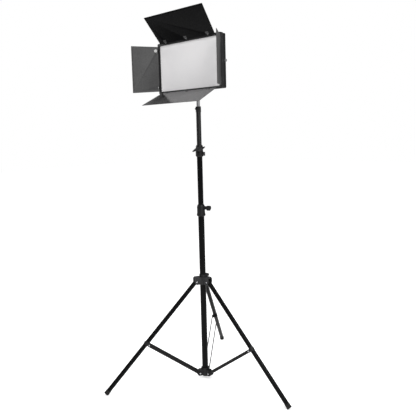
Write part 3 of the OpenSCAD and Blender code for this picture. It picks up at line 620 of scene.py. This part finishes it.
# ------------------------------------------------------------------ barn doors
def door(name, near, far, length, at, kr, matrix, mat, flip=False, pads=(), leaves=True):
    """A thin pressed door: hinge along X at the origin, reaching +Z, inner face towards -Y, with a flat hem round its free edges."""
    t = 0.6
    z0 = -1.2
    slope = (far - near) / 2 / (length - z0)
    pts = [(-near / 2, z0)]
    for x in at:
        pts += [(x - 8.5, z0), (x - 8.5, 1.2), (x - 3.3, 1.2), (x - 3.3, kr + 0.9), (x + 3.3, kr + 0.9), (x + 3.3, 1.2), (x + 8.5, 1.2), (x + 8.5, z0)]
    pts += [(near / 2, z0)]
    c = 1.4
    arc = [math.radians(x) for x in (0, 30, 60, 90)]
    right = [(far / 2 - slope * c - c + c * math.cos(a), length - c + c * math.sin(a)) for a in arc]
    pts += right + [(-x, z) for x, z in reversed(right)]
    shells = [extruded(pts, -t, t)]
    # the folded hem: a flat band along the two ends and the far edge, a hair proud of both faces
    w, e = 6.0, 0.35
    nx = lambda z: near / 2 + slope * (z - z0)
    hem = [(-nx(6) + e, 6), (-nx(length - e) + e, length - e), (nx(length - e) - e, length - e), (nx(6) - e, 6),
           (nx(6) - w, 6), (nx(length - w) - w, length - w), (-nx(length - w) + w, length - w), (-nx(6) + w, 6)]
    shells.append(extruded(hem, -t - 0.13, t + 0.13))
    clips = []
    for x in at:
        for s in (-1, 1):
            k = lathe(fillet([(kr, -2.3), (kr, 2.3), (1.05, 2.3), (1.05, -2.3)], 0.2), closed=True, seg=36)
            shells.append(moved(k, T(x + s * 5.6, 0, 0) @ R(90, "Y")))
            shells.append(extruded([(x + s * 5.6 - 2.25, 1.25), (x + s * 5.6 + 2.25, 1.25), (x + s * 5.6 + 2.25, kr + 1.2), (x + s * 5.6 - 2.25, kr + 1.2)], -0.5, 0.5))
        # the hinge leaf on the inner face, with its two rivets
        leaf = [(x - 7.6, 2.2), (x - 3.4, 2.2), (x - 3.4, kr + 0.9), (x + 3.4, kr + 0.9), (x + 3.4, 2.2), (x + 7.6, 2.2), (x + 7.6, 11.4), (x + 6.4, 13.4), (x - 6.4, 13.4), (x - 7.6, 11.4)]
        clips.append(extruded(leaf, -t - 0.26, -t + 0.1))
        for s in (-1, 1):
            clips.append(moved(lathe(rivet_profile(1.5, 0.3, 0.8, 0.2), seg=28), T(x + s * 4.2, -t - 0.24, 9.2) @ R(90, "X")))
    if flip:
        for b in shells + clips:
            for v in b.verts:
                v.co.z = -v.co.z
            bmesh.ops.reverse_faces(b, faces=b.faces)
    body = BODY_OF[name]
    o = add(name + "_sheet", joined(*shells), mat, body, matrix)
    soft_edges(o, 0.16, 2, 25)
    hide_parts(name)
    c = add(name + "_hinge_leaves", joined(*clips), CLIP_GREY, body, matrix)
    for k, (x, z, r) in enumerate(pads):
        p = add(name + "_pad_%d" % k, moved(lathe(fillet([(0, -0.2), (r, -0.2), (r, 0.45), (r - 0.9, 0.62), (0, 0.68)], [0, 0.1, 0.25, 0.3, 0], closed=False), seg=48),
                                            T(x, -t - 0.26, z) @ R(90, "X")), PAD_WHITE, body, matrix)
    return o


LONG_AT, SIDE_AT = [-114, 0, 114], [-71, 71]
door("top_door", 294, 312, 117, LONG_AT, 1.8, T(0, -56.2, PANEL_Z + 95.5) @ R(38.5, "X"), DOOR_TOP_PAINTED_SHADE)
door("bottom_door", 294, 312, 114, LONG_AT, 1.8, T(0, -54.2, PANEL_Z - 95.5) @ R(-63.5, "X"), DOOR_BOTTOM_LIT_COPY, flip=True)
door("left_door", 176, 184, 105, SIDE_AT, 1.5, T(-169.5, -52.2, PANEL_Z) @ R(50, "Z") @ R(-90, "Y"), MAT["black_sheet"], pads=((72.5, 7.6, 6.2),))
door("right_door", 176, 184, 105, SIDE_AT, 1.5, T(169.5, -52.2, PANEL_Z) @ R(-55.5, "Z") @ R(90, "Y"), MAT["black_sheet"], pads=((-72.5, 7.6, 6.2),))

# ------------------------------------------------------------------ floor, light and camera
fm = bpy.data.materials.new("floor_pale")
fm.use_nodes = True
nt = fm.node_tree
b = nt.nodes["Principled BSDF"]
tc = node(nt, "ShaderNodeTexCoord")
fn = node(nt, "ShaderNodeTexNoise", Scale=1.3, Detail=2.0)
fr = node(nt, "ShaderNodeValToRGB")
fr.color_ramp.elements[0].color, fr.color_ramp.elements[1].color = (0.95, 0.95, 0.95, 1), (0.96, 0.96, 0.96, 1)
nt.links.new(tc.outputs["Object"], fn.inputs["Vector"])
nt.links.new(fn.outputs["Fac"], fr.inputs["Fac"])
nt.links.new(fr.outputs["Color"], b.inputs["Base Color"])
b.inputs["Roughness"].default_value = 0.9
b.inputs["Specular IOR Level"].default_value = 0.1
glow = node(nt, "ShaderNodeEmission", Color=(1, 1, 1, 1), Strength=0.32)
both = node(nt, "ShaderNodeAddShader")
path = node(nt, "ShaderNodeLightPath")
pick = node(nt, "ShaderNodeMixShader")
nt.links.new(b.outputs[0], both.inputs[0])
nt.links.new(glow.outputs[0], both.inputs[1])
nt.links.new(path.outputs["Is Camera Ray"], pick.inputs[0])
nt.links.new(b.outputs[0], pick.inputs[1])
nt.links.new(both.outputs[0], pick.inputs[2])
nt.links.new(pick.outputs[0], nt.nodes["Material Output"].inputs["Surface"])
bm = bmesh.new()
bmesh.ops.create_grid(bm, x_segments=8, y_segments=8, size=14.0)
me = bpy.data.meshes.new("floor")
bm.to_mesh(me); bm.free()
me.materials.append(fm)
floor = bpy.data.objects.new("floor", me)
floor.location = (0, 0, -0.0005)
scene.collection.objects.link(floor)

world = bpy.data.worlds.new("studio")
scene.world = world
world.use_nodes = True
nt = world.node_tree
nt.nodes.clear()
wo = node(nt, "ShaderNodeOutputWorld")
seen = node(nt, "ShaderNodeBackground", Color=(1, 1, 1, 1), Strength=1.0)
lit = node(nt, "ShaderNodeBackground", Color=(1, 1, 1, 1), Strength=0.75)
shine = node(nt, "ShaderNodeBackground", Color=(1, 1, 1, 1), Strength=0.35)
lp = node(nt, "ShaderNodeLightPath")
mix = node(nt, "ShaderNodeMixShader")
nt.links.new(lp.outputs["Is Camera Ray"], mix.inputs[0])
inner = node(nt, "ShaderNodeMixShader")
nt.links.new(lp.outputs["Is Glossy Ray"], inner.inputs[0])
nt.links.new(lit.outputs[0], inner.inputs[1])
nt.links.new(shine.outputs[0], inner.inputs[2])
nt.links.new(inner.outputs[0], mix.inputs[1])
nt.links.new(seen.outputs[0], mix.inputs[2])
nt.links.new(mix.outputs[0], wo.inputs["Surface"])


def area(name, at, aim, size, power, colour=(1, 1, 1)):
    l = bpy.data.lights.new(name, "AREA")
    l.shape = "RECTANGLE"
    l.size, l.size_y = size
    l.energy = power
    l.color = colour
    o = bpy.data.objects.new(name, l)
    o.location = at
    o.rotation_euler = (Vector(aim) - Vector(at)).to_track_quat("-Z", "Y").to_euler()
    scene.collection.objects.link(o)
    return o


area("key_softbox", (3.0, -1.1, 2.7), (0, 0, 1.0), (1.6, 1.6), 75)
area("left_softbox", (-3.0, -1.1, 2.2), (0, 0, 1.0), (1.2, 1.2), 24)
area("overhead", (0.2, -0.6, 3.6), (0, 0, 0.6), (2.6, 2.6), 55)

F_PX, DIST, CAM_H = 521.17242, 2.0867, 1.02265
PAN, PITCH, ROLL, PSI = 0.01357, 0.14221, -0.02489, 0.77161
fwd = Vector((math.sin(PAN) * math.cos(PITCH), math.cos(PAN) * math.cos(PITCH), -math.sin(PITCH)))
right = Vector((math.cos(PAN), -math.sin(PAN), 0))
up = right.cross(fwd)
r = right * math.cos(ROLL) + up * math.sin(ROLL)
u = -right * math.sin(ROLL) + up * math.cos(ROLL)
turn = Matrix.Rotation(PSI, 3, "Z")
fwd, r, u = turn @ fwd, turn @ r, turn @ u
pos = turn @ Vector((0, -DIST, CAM_H))
cd = bpy.data.cameras.new("photo_view")
cd.sensor_width = 36.0
cd.lens = F_PX * 36.0 / 416.0
cd.clip_start, cd.clip_end = 0.01, 100
cam = bpy.data.objects.new("photo_view", cd)
cam.matrix_world = Matrix(((r.x, u.x, -fwd.x, pos.x), (r.y, u.y, -fwd.y, pos.y), (r.z, u.z, -fwd.z, pos.z), (0, 0, 0, 1)))
scene.collection.objects.link(cam)
scene.camera = cam
scene.view_settings.view_transform = "Standard"
scene.view_settings.look = "None"
